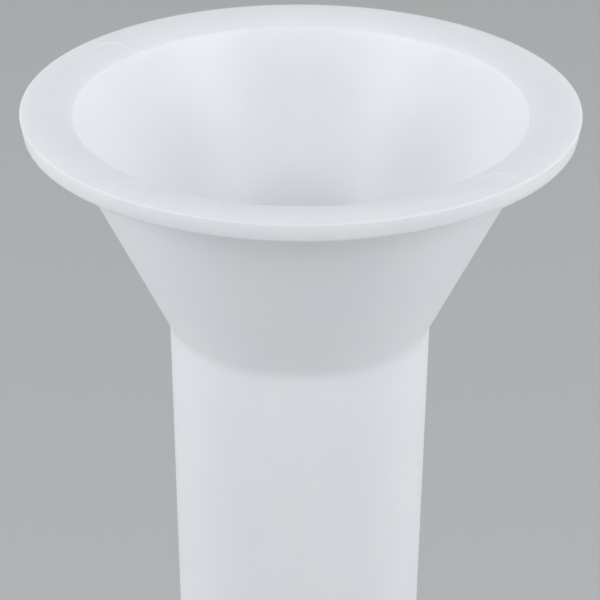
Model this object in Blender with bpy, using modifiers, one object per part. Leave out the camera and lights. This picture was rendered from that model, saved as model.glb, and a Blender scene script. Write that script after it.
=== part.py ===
"""A flanged stuffing funnel, made as the single plastic moulding that it is.

A flat ring flange carries a cone that narrows to a wide, nearly straight tube. A ring nut presses the flange
against a filling machine's outlet, and the casing to be filled slides over the tube. The funnel stands mouth up
on the square-cut end of its tube. The origin is the centre of that end, and +Z is the axis of the funnel.
Lengths are in metres and angles in radians.
"""

import math

import bpy

# Driving dimensions
TOTAL_HEIGHT = 0.155
FLANGE_DIAMETER = 0.082
FLANGE_THICKNESS = 0.0029
CONE_DEPTH = 0.0344  # from the flange's top face to the crease where the tube starts
TUBE_DIAMETER = 0.0391  # outside, at that crease
CONE_HALF_ANGLE = math.radians(26.5)
WALL = 0.0027
LEAD_IN_DEPTH = 0.0008  # how far the flange's face dips from its flat outer ring to the edge of the mouth
LEAD_IN_SLOPE = math.radians(17.0)  # of that face at the edge of the mouth
TUBE_DRAFT = math.radians(1.15)  # each side, so that the moulding slides off its core
RIM_DRAFT = math.radians(10.5)

# Edge radii
MOUTH_ROUND = 0.0005
LEAD_IN_ROUND = 0.0165  # the gradual bend between the flat ring and the mouth
RIM_TOP_ROUND = 0.00015
RIM_BOTTOM_ROUND = 0.0004
SHOULDER_FILLET = 0.0008  # inside corner between the flange's underside and the cone
THROAT_ROUND = 0.0012
TUBE_END_ROUND = 0.0004
SHARP = 0.0

# Mesh fineness
TURN_STEPS = 72  # a multiple of 4, so that the flange is full width along both X and Y
LONGEST_ARC_STEP = math.radians(30.0)
SMOOTH_BELOW = math.radians(30.0)

# Finish of the plastic
PLASTIC_COLOUR = (0.80, 0.83, 0.86, 1.0)
PLASTIC_ROUGHNESS = 0.42


def clear_scene():
    for obj in list(bpy.data.objects):
        bpy.data.objects.remove(obj)


def named_collection(name):
    collection = bpy.data.collections.new(name)
    bpy.context.scene.collection.children.link(collection)
    return collection


def plastic_material():
    material = bpy.data.materials.new("white_plastic")
    material.use_nodes = True
    shader = material.node_tree.nodes["Principled BSDF"]
    shader.inputs["Base Color"].default_value = PLASTIC_COLOUR
    shader.inputs["Roughness"].default_value = PLASTIC_ROUGHNESS
    shader.inputs["Metallic"].default_value = 0.0
    return material


def rounded_corner(before, corner, after, radius):
    """The points of an arc that rounds one corner of an outline, or the corner itself where it is sharp."""
    if radius == SHARP:
        return [corner]
    back = (before[0] - corner[0], before[1] - corner[1])
    ahead = (after[0] - corner[0], after[1] - corner[1])
    back_angle = math.atan2(back[1], back[0])
    turn = math.remainder(math.atan2(ahead[1], ahead[0]) - back_angle, math.tau)
    half_opening = abs(turn) / 2
    middle = back_angle + turn / 2
    to_centre = radius / math.sin(half_opening)
    centre = (corner[0] + to_centre * math.cos(middle), corner[1] + to_centre * math.sin(middle))
    sweep = math.copysign(math.pi - abs(turn), turn)
    steps = max(2, math.ceil(abs(sweep) / LONGEST_ARC_STEP))
    towards_corner = middle + math.pi
    angles = [towards_corner + sweep * (0.5 - i / steps) for i in range(steps + 1)]
    return [(centre[0] + radius * math.cos(a), centre[1] + radius * math.sin(a)) for a in angles]


def rim_corner():
    """Radius of the flange's sharp top corner, which its rounding brings in to the flange's full size."""
    half_corner = (math.pi / 2 + RIM_DRAFT) / 2
    return FLANGE_DIAMETER / 2 + RIM_TOP_ROUND * (math.tan(half_corner) - 1)


def funnel_outline():
    """The half section as (radius, height) points: down the outside from the rim, then up the inside."""
    top = TOTAL_HEIGHT
    underside = top - FLANGE_THICKNESS
    crease = top - CONE_DEPTH
    rim = rim_corner()
    tube = TUBE_DIAMETER / 2
    slope = math.tan(CONE_HALF_ANGLE)
    wall_across_cone = WALL / math.cos(CONE_HALF_ANGLE)
    shoulder = tube + (underside - crease) * slope
    mouth_height = top - LEAD_IN_DEPTH
    mouth = tube + (mouth_height - crease) * slope - wall_across_cone
    lead_in = mouth + LEAD_IN_DEPTH / math.tan(LEAD_IN_SLOPE)
    tube_end = tube - crease * math.tan(TUBE_DRAFT)
    bore = tube - WALL
    throat = mouth_height - (mouth - bore) / slope
    corners = [
        ((rim, top), RIM_TOP_ROUND),
        ((rim - FLANGE_THICKNESS * math.tan(RIM_DRAFT), underside), RIM_BOTTOM_ROUND),
        ((shoulder, underside), SHOULDER_FILLET),
        ((tube, crease), SHARP),
        ((tube_end, 0.0), TUBE_END_ROUND),
        ((tube_end - WALL, 0.0), TUBE_END_ROUND),
        ((bore, throat), THROAT_ROUND),
        ((mouth, mouth_height), MOUTH_ROUND),
        ((lead_in, top), LEAD_IN_ROUND),
    ]
    outline = []
    for i, (corner, radius) in enumerate(corners):
        before = corners[i - 1][0]
        after = corners[(i + 1) % len(corners)][0]
        outline += rounded_corner(before, corner, after, radius)
    return outline


def turned_object(name, outline, material, collection):
    """A closed outline turned round the Z axis with a Screw modifier."""
    mesh = bpy.data.meshes.new(name)
    edges = [(i, (i + 1) % len(outline)) for i in range(len(outline))]
    mesh.from_pydata([(radius, 0.0, height) for radius, height in outline], edges, [])
    mesh.materials.append(material)
    obj = bpy.data.objects.new(name, mesh)
    collection.objects.link(obj)
    screw = obj.modifiers.new("turn", "SCREW")
    screw.axis = "Z"
    screw.angle = math.tau
    screw.steps = TURN_STEPS
    screw.render_steps = TURN_STEPS
    screw.use_merge_vertices = True
    screw.merge_threshold = 0.00001
    screw.use_smooth_shade = True
    return obj


def bake_modifiers(obj):
    """Gives obj the mesh that its modifiers make, so that it can be shaded by edge angle."""
    graph = bpy.context.evaluated_depsgraph_get()
    mesh = bpy.data.meshes.new_from_object(obj.evaluated_get(graph))
    mesh.name = obj.name
    obj.modifiers.clear()
    obj.data = mesh
    mesh.shade_smooth()
    mesh.set_sharp_from_angle(angle=SMOOTH_BELOW)


def build():
    clear_scene()
    collection = named_collection("stuffing_funnel")
    funnel = turned_object("funnel", funnel_outline(), plastic_material(), collection)
    bake_modifiers(funnel)


build()
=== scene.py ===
"""The looks of the stuffing funnel: its finely turned surface, its satin plastic, and a plain pale studio.

The funnel is one white moulding. It stands mouth up on the end of its tube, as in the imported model. This
repeats that model's shape with finer steps and a softer crease where the cone meets the tube. Added to it are
the marks of the mould: four ejector-pin marks on the flange and one small nick. Lengths are in metres and
angles in radians, unless a name or a comment says otherwise.
"""

import math

import bpy
from mathutils import Matrix, Vector


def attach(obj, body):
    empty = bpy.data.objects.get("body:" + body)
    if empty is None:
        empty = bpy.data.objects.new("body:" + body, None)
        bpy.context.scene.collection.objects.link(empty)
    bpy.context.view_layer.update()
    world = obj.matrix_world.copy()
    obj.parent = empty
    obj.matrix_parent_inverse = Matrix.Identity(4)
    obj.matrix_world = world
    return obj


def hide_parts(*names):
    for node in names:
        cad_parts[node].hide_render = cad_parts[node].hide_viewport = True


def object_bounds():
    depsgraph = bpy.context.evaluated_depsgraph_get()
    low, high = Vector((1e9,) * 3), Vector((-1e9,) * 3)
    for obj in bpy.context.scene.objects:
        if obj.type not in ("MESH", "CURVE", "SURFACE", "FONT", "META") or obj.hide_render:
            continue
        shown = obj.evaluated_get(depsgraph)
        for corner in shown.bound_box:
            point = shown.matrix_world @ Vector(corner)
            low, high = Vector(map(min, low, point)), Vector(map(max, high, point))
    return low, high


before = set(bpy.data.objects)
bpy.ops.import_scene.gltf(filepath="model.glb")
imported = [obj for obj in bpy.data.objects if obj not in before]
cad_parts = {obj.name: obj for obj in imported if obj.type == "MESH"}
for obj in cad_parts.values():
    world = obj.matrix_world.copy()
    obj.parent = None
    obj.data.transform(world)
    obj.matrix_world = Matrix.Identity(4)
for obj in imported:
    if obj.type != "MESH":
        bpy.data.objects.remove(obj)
CAD_LOW, CAD_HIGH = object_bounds()

# The funnel's sizes: the outer ones come from the frame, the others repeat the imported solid's
TOP = CAD_HIGH.z
FLANGE_RADIUS = CAD_HIGH.x
FLANGE_THICKNESS = 0.0029
CONE_DEPTH = 0.0344
TUBE_RADIUS = 0.01955
CONE_HALF_ANGLE = math.radians(26.5)
WALL = 0.0027
LEAD_IN_DEPTH = 0.0008  # how far the flange's face dips from its flat outer ring to the edge of the mouth
LEAD_IN_SLOPE = math.radians(17.0)
TUBE_DRAFT = math.radians(1.15)
RIM_DRAFT = math.radians(10.5)
MOUTH_ROUND = 0.0005
LEAD_IN_ROUND = 0.0165
RIM_TOP_ROUND = 0.00015
RIM_BOTTOM_ROUND = 0.0004
SHOULDER_FILLET = 0.0008
CREASE_ROUND = 0.005
THROAT_ROUND = 0.0012
TUBE_END_ROUND = 0.0004

# Steps of the mesh
FINE_STEP = 0.00016
RIM_STEP = 0.0004
WALL_STEP = 0.004
ARC_STEP = math.radians(9.0)
COLUMN_STEP = math.radians(1.5)
FINE_COLUMN_STEP = math.radians(0.25)
CLOSEST_COLUMNS = FINE_COLUMN_STEP / 3  # a column nearer to the one before it than this is left out
ANGLE_PLACES = 6  # decimal places, so that angles meant to be the same are the same

# Ejector-pin marks, as (distance from the axis, direction, radius, depth under the flange's face)
PIN_MARKS = (
    (0.0361, math.radians(142.5), 0.0024, 0.00012),
    (0.0376, math.radians(-43.2), 0.0023, 0.00012),
    (0.0375, math.radians(51.0), 0.0024, 0.00005),
    (0.0375, math.radians(-128.0), 0.0024, 0.00005),
)
PIN_EDGE = 0.0003  # width of the step round a pin mark
PIN_GROOVE = 0.0001  # depth of the fine groove in that step
NICK = (0.0359, math.radians(-45.8), 0.0004, 0.00012)  # a small dent, given as a pin mark is

# What each point of the mesh carries for the material
ALONG = "along_outline"  # distance along the outline
TURNED = "turned_wall"  # 1 inside the cone, where the tool marks show most


def rounded_corner(before, corner, after, radius, longest_step):
    """The points of an arc that rounds one corner of an outline."""
    back = (before[0] - corner[0], before[1] - corner[1])
    ahead = (after[0] - corner[0], after[1] - corner[1])
    back_angle = math.atan2(back[1], back[0])
    turn = math.remainder(math.atan2(ahead[1], ahead[0]) - back_angle, math.tau)
    half_opening = abs(turn) / 2
    middle = back_angle + turn / 2
    to_centre = radius / math.sin(half_opening)
    centre = (corner[0] + to_centre * math.cos(middle), corner[1] + to_centre * math.sin(middle))
    sweep = math.copysign(math.pi - abs(turn), turn)
    steps = max(2, math.ceil(abs(sweep) / longest_step))
    towards_corner = middle + math.pi
    angles = [towards_corner + sweep * (0.5 - i / steps) for i in range(steps + 1)]
    return [(centre[0] + radius * math.cos(a), centre[1] + radius * math.sin(a)) for a in angles]


def filled_run(start, end, longest_step):
    """The points strictly between two points of an outline, no further apart than longest_step."""
    steps = max(1, math.ceil(math.dist(start, end) / longest_step))
    shares = [i / steps for i in range(1, steps)]
    return [(start[0] + (end[0] - start[0]) * s, start[1] + (end[1] - start[1]) * s) for s in shares]


def rim_corner():
    """Radius of the flange's sharp top corner, which its rounding brings in to the flange's full size."""
    half_corner = (math.pi / 2 + RIM_DRAFT) / 2
    return FLANGE_RADIUS + RIM_TOP_ROUND * (math.tan(half_corner) - 1)


def funnel_corners():
    """The half section's corners as (point, rounding, arc step, step of the run that follows)."""
    underside = TOP - FLANGE_THICKNESS
    crease = TOP - CONE_DEPTH
    slope = math.tan(CONE_HALF_ANGLE)
    wall_across_cone = WALL / math.cos(CONE_HALF_ANGLE)
    rim = rim_corner()
    shoulder = TUBE_RADIUS + (underside - crease) * slope
    mouth_height = TOP - LEAD_IN_DEPTH
    mouth = TUBE_RADIUS + (mouth_height - crease) * slope - wall_across_cone
    lead_in = mouth + LEAD_IN_DEPTH / math.tan(LEAD_IN_SLOPE)
    tube_end = TUBE_RADIUS - crease * math.tan(TUBE_DRAFT)
    bore = TUBE_RADIUS - WALL
    throat = mouth_height - (mouth - bore) / slope
    return (
        ((rim, TOP), RIM_TOP_ROUND, ARC_STEP, RIM_STEP),
        ((rim - FLANGE_THICKNESS * math.tan(RIM_DRAFT), underside), RIM_BOTTOM_ROUND, ARC_STEP, WALL_STEP),
        ((shoulder, underside), SHOULDER_FILLET, ARC_STEP, WALL_STEP),
        ((TUBE_RADIUS, crease), CREASE_ROUND, ARC_STEP, WALL_STEP),
        ((tube_end, 0.0), TUBE_END_ROUND, ARC_STEP, WALL_STEP),
        ((tube_end - WALL, 0.0), TUBE_END_ROUND, ARC_STEP, WALL_STEP),
        ((bore, throat), THROAT_ROUND, ARC_STEP, WALL_STEP),
        ((mouth, mouth_height), MOUTH_ROUND, ARC_STEP, FINE_STEP),
        ((lead_in, TOP), LEAD_IN_ROUND, FINE_STEP / LEAD_IN_ROUND, FINE_STEP),
    )


def funnel_outline():
    """The half section as closely spaced (radius, height) points, down the outside and then up the inside."""
    corners = funnel_corners()
    outline = []
    for i, (corner, radius, arc_step, _) in enumerate(corners):
        before = corners[i - 1][0]
        after = corners[(i + 1) % len(corners)][0]
        arc = rounded_corner(before, corner, after, radius, arc_step)
        if outline:
            outline += filled_run(outline[-1], arc[0], corners[i - 1][3])
        outline += arc
    outline += filled_run(outline[-1], outline[0], corners[-1][3])
    return outline


def column_angles():
    """The turned mesh's angles: even all round, and closer together at each pin mark."""
    angles = {round(i * COLUMN_STEP, ANGLE_PLACES) for i in range(round(math.tau / COLUMN_STEP))}
    for distance, direction, radius, _ in PIN_MARKS:
        half_width = math.asin((radius + 2 * PIN_EDGE) / distance)
        steps = math.ceil(half_width / FINE_COLUMN_STEP)
        for i in range(-steps, steps + 1):
            angles.add(round((direction + i * FINE_COLUMN_STEP) % math.tau, ANGLE_PLACES))
    ordered = sorted(angles)
    return [a for i, a in enumerate(ordered) if i == 0 or a - ordered[i - 1] > CLOSEST_COLUMNS]


def smooth_step(low, high, value):
    share = min(1.0, max(0.0, (value - low) / (high - low)))
    return share * share * (3 - 2 * share)


def bell(distance, half_width):
    return math.exp(-((distance / half_width) ** 2))


def distance_from(x, y, distance, direction):
    """How far a point is, seen from above, from the place at a distance from the axis in a direction."""
    return math.hypot(x - distance * math.cos(direction), y - distance * math.sin(direction))


def marked_height(x, y, height):
    """The height of the flange's face, with the marks that the mould left there."""
    for distance, direction, radius, depth in PIN_MARKS:
        away = distance_from(x, y, distance, direction)
        if away < radius + 2 * PIN_EDGE:
            outside = smooth_step(radius - PIN_EDGE / 2, radius + PIN_EDGE / 2, away)
            height -= depth * (1 - outside)
            height -= PIN_GROOVE * bell(away - radius, PIN_EDGE / 2)
    distance, direction, radius, depth = NICK
    return height - depth * bell(distance_from(x, y, distance, direction), radius)


def inside_cone(row, outline):
    """True for an outline point on the inner wall between the throat and the edge of the mouth."""
    height = outline[row][1]
    inner_side = row > len(outline) // 2
    return inner_side and TOP - CONE_DEPTH < height < TOP - LEAD_IN_DEPTH


def path_lengths(outline):
    """The distance along the outline to each of its points."""
    lengths = [0.0]
    for before, after in zip(outline, outline[1:]):
        lengths.append(lengths[-1] + math.dist(before, after))
    return lengths


def add_attribute(mesh, name, values):
    attribute = mesh.attributes.new(name, "FLOAT", "POINT")
    attribute.data.foreach_set("value", values)


def funnel_mesh():
    outline = funnel_outline()
    angles = column_angles()
    rows = len(outline)
    columns = len(angles)
    vertices = []
    for angle in angles:
        for radius, height in outline:
            x = radius * math.cos(angle)
            y = radius * math.sin(angle)
            if height > TOP - LEAD_IN_DEPTH:
                height = marked_height(x, y, height)
            vertices.append((x, y, height))
    faces = []
    for column in range(columns):
        here = column * rows
        there = (column + 1) % columns * rows
        for row in range(rows):
            following = (row + 1) % rows
            faces.append((here + row, here + following, there + following, there + row))
    mesh = bpy.data.meshes.new("funnel_moulding")
    mesh.from_pydata(vertices, [], faces)
    mesh.shade_smooth()
    add_attribute(mesh, ALONG, path_lengths(outline) * columns)
    add_attribute(mesh, TURNED, [float(inside_cone(row, outline)) for row in range(rows)] * columns)
    return mesh


# The plastic
BASE_WHITE = (0.887, 0.888, 0.902)
FLOW_WHITE = (0.868, 0.873, 0.897)  # the faint cooler patches that the flow of the melt leaves
FLOW_SIZE = 0.014
PLASTIC_IOR = 1.5
TRANSLUCENCY_DEPTH = 0.002  # how far light travels between scatterings
SATIN_ROUGHNESS = (0.40, 0.47)  # least and most
RUBBED_SIZE = 0.006  # of the patches that are rougher or smoother
RING_SPACING = 0.0005  # of the tool marks that run round the walls
RING_LENGTH = 0.02  # how far a ring runs before it changes
RING_DEPTH = 0.000003
RING_SHARE_OUTSIDE = 0.3  # how strong the rings are anywhere but inside the cone
GRAIN_SIZE = 0.00018
GRAIN_DEPTH = 0.000002
SCRATCH_WIDTH = 0.0004
SCRATCH_SHRINK = 0.06  # width over length
SCRATCH_TURN = (0.3, 0.5, 0.6)
SCRATCH_CRESTS = (0.72, 0.78)  # the noise's values where a scratch starts and where it is deepest
SCRATCH_DEPTH = 0.000006
NOISE_RANGE = (0.3, 0.7)  # where most of a noise's values lie


class Shading:
    """A material's node tree, with short calls that add a node and link it to what came before."""

    def __init__(self, material):
        self.nodes = material.node_tree.nodes
        self.links = material.node_tree.links

    def set_input(self, node, key, value):
        if isinstance(value, bpy.types.NodeSocket):
            self.links.new(value, node.inputs[key])
        else:
            node.inputs[key].default_value = value

    def add(self, kind, settings=None, **inputs):
        """Adds a node. Its inputs' names have _ for a space, and take a number or another node's output."""
        node = self.nodes.new("ShaderNode" + kind)
        for name, value in (settings or {}).items():
            setattr(node, name, value)
        for name, value in inputs.items():
            self.set_input(node, name.replace("_", " "), value)
        return node

    def math(self, operation, first, second):
        node = self.add("Math", {"operation": operation})
        self.set_input(node, 0, first)
        self.set_input(node, 1, second)
        return node.outputs[0]

    def attribute(self, name):
        return self.add("Attribute", {"attribute_name": name}).outputs["Fac"]

    def noise(self, vector, size, detail=2.0):
        """A noise of about the given size in metres, from 0 to 1."""
        return self.add("TexNoise", Vector=vector, Scale=1.0 / size, Detail=detail).outputs["Fac"]

    def between(self, share, low, high):
        """A noise's usual values stretched to run from low to high."""
        least, most = NOISE_RANGE
        node = self.add("MapRange", Value=share, From_Min=least, From_Max=most, To_Min=low, To_Max=high)
        return node.outputs["Result"]


def ring_pattern(shading, place):
    """Fine uneven rings round the axis, as turning the mould left them."""
    split = shading.add("SeparateXYZ", Vector=place)
    along = shading.math("MULTIPLY", shading.attribute(ALONG), RING_LENGTH / RING_SPACING)
    ring_place = shading.add("CombineXYZ", X=split.outputs["X"], Y=split.outputs["Y"], Z=along)
    return shading.noise(ring_place.outputs["Vector"], RING_LENGTH, detail=3.0)


def scratch_pattern(shading, place):
    """A few short straight scratches: the rare crests of a noise stretched along one direction."""
    stretch = (SCRATCH_SHRINK, 1.0, 1.0)
    mapping = shading.add("Mapping", Vector=place, Rotation=SCRATCH_TURN, Scale=stretch)
    crests = shading.noise(mapping.outputs["Vector"], SCRATCH_WIDTH, detail=1.0)
    start, deepest = SCRATCH_CRESTS
    node = shading.add("MapRange", Value=crests, From_Min=start, From_Max=deepest, To_Min=0.0, To_Max=1.0)
    return node.outputs["Result"]


def surface_height(shading, place):
    """The plastic's fine relief in metres: rings, grain and scratches."""
    ring_share = shading.add(
        "MapRange", Value=shading.attribute(TURNED), To_Min=RING_SHARE_OUTSIDE, To_Max=1.0
    ).outputs["Result"]
    rings = shading.math("MULTIPLY", ring_pattern(shading, place), ring_share)
    rings = shading.math("MULTIPLY", rings, RING_DEPTH)
    grain = shading.math("MULTIPLY", shading.noise(place, GRAIN_SIZE), GRAIN_DEPTH)
    scratches = shading.math("MULTIPLY", scratch_pattern(shading, place), -SCRATCH_DEPTH)
    return shading.math("ADD", shading.math("ADD", rings, grain), scratches)


def white_plastic():
    """Satin white polyethylene: light goes into it, and its surface shows the mould's tool marks."""
    material = bpy.data.materials.new("satin_polyethylene")
    material.use_nodes = True
    shading = Shading(material)
    shader = shading.nodes["Principled BSDF"]
    place = shading.add("TexCoord").outputs["Object"]
    flow = shading.noise(place, FLOW_SIZE, detail=3.0)
    colour = shading.add("Mix", {"data_type": "RGBA"}, Factor=shading.between(flow, 0.0, 1.0))
    colour.inputs["A"].default_value = (*BASE_WHITE, 1.0)
    colour.inputs["B"].default_value = (*FLOW_WHITE, 1.0)
    relief = shading.add("Bump", Height=surface_height(shading, place), Distance=1.0, Strength=1.0)
    rubbed = shading.noise(place, RUBBED_SIZE, detail=4.0)
    shading.set_input(shader, "Base Color", colour.outputs["Result"])
    shading.set_input(shader, "Roughness", shading.between(rubbed, *SATIN_ROUGHNESS))
    shading.set_input(shader, "Normal", relief.outputs["Normal"])
    shader.inputs["IOR"].default_value = PLASTIC_IOR
    shader.inputs["Subsurface Weight"].default_value = 1.0
    shader.inputs["Subsurface Radius"].default_value = (1.0, 1.0, 1.0)
    shader.inputs["Subsurface Scale"].default_value = TRANSLUCENCY_DEPTH
    return material


def make_funnel():
    mesh = funnel_mesh()
    mesh.materials.append(white_plastic())
    funnel = bpy.data.objects.new("funnel_moulding", mesh)
    bpy.context.scene.collection.objects.link(funnel)
    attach(funnel, "root")
    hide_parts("funnel")


# The studio
MOUTH = Vector((0.0, 0.0, TOP))  # the middle of the mouth
FLOOR_SIZE = 12.0
FLOOR_GAP = 0.0002  # the floor lies this far under the tube's end
FLOOR_COLOUR = (0.5, 0.5, 0.5, 1.0)
FLOOR_ROUGHNESS = 0.9
SKY_COLOUR = (0.88, 0.97, 1.0, 1.0)
SKY_STRENGTH = 0.29
NEUTRAL = (0.95, 0.965, 1.0)
COOL = (0.87, 0.94, 1.0)
WARM = (1.0, 0.93, 0.93)

# Pairs of softboxes round the mouth, as (name, degrees to either side of the camera, degrees up, size, power,
# colour)
SOFTBOX_DISTANCE = 1.0
SOFTBOX_PAIRS = (
    ("front", 54, 32, 0.38, 3.3, NEUTRAL),
    ("low", 62, 6, 0.30, 1.35, WARM),
    ("side", 92, 12, 0.45, 1.05, COOL),
    ("back", 140, 38, 0.40, 1.4, WARM),
    ("back_low", 130, 12, 0.40, 0.45, WARM),
)


def make_floor():
    mesh = bpy.data.meshes.new("floor")
    half = FLOOR_SIZE / 2
    corners = [(-half, -half), (half, -half), (half, half), (-half, half)]
    mesh.from_pydata([(x, y, -FLOOR_GAP) for x, y in corners], [], [(0, 1, 2, 3)])
    material = bpy.data.materials.new("floor_paper")
    material.use_nodes = True
    shader = material.node_tree.nodes["Principled BSDF"]
    shader.inputs["Base Color"].default_value = FLOOR_COLOUR
    shader.inputs["Roughness"].default_value = FLOOR_ROUGHNESS
    mesh.materials.append(material)
    floor = bpy.data.objects.new("floor", mesh)
    bpy.context.scene.collection.objects.link(floor)


def make_sky():
    world = bpy.data.worlds.new("studio")
    world.use_nodes = True
    background = world.node_tree.nodes["Background"]
    background.inputs["Color"].default_value = SKY_COLOUR
    background.inputs["Strength"].default_value = SKY_STRENGTH
    bpy.context.scene.world = world


def make_softbox(name, azimuth, elevation, size, power, colour):
    """A square softbox that faces the funnel's mouth and is hidden from the camera."""
    light = bpy.data.lights.new(name, "AREA")
    light.shape = "SQUARE"
    light.size = size
    light.energy = power
    light.color = colour
    lamp = bpy.data.objects.new(name, light)
    turn = math.radians(azimuth)
    lift = math.radians(elevation)
    outward = Vector((math.sin(turn) * math.cos(lift), -math.cos(turn) * math.cos(lift), math.sin(lift)))
    lamp.location = MOUTH + outward * SOFTBOX_DISTANCE
    lamp.rotation_euler = outward.to_track_quat("Z", "Y").to_euler()
    lamp.visible_camera = False
    bpy.context.scene.collection.objects.link(lamp)


# The camera
CAMERA_FROM_MOUTH = Vector((0.0, -0.4283, 0.1810))
CAMERA_PITCH = math.radians(26.405)  # below the horizon
CAMERA_ROLL = math.radians(0.274)
LENS_MM = 190.8
SENSOR_MM = 36.0
NEAREST = 0.01
FURTHEST = 20.0


def make_camera():
    data = bpy.data.cameras.new("camera")
    data.lens = LENS_MM
    data.sensor_width = SENSOR_MM
    data.clip_start = NEAREST
    data.clip_end = FURTHEST
    camera = bpy.data.objects.new("camera", data)
    turned = Matrix.Rotation(math.pi / 2 - CAMERA_PITCH, 4, "X") @ Matrix.Rotation(CAMERA_ROLL, 4, "Z")
    camera.matrix_world = Matrix.Translation(MOUTH + CAMERA_FROM_MOUTH) @ turned
    bpy.context.scene.collection.objects.link(camera)
    bpy.context.scene.camera = camera


make_funnel()
make_floor()
make_sky()
for pair_name, azimuth, *light in SOFTBOX_PAIRS:
    make_softbox(pair_name + "_left", -azimuth, *light)
    make_softbox(pair_name + "_right", azimuth, *light)
make_camera()
bpy.context.scene.view_settings.view_transform = "Standard"
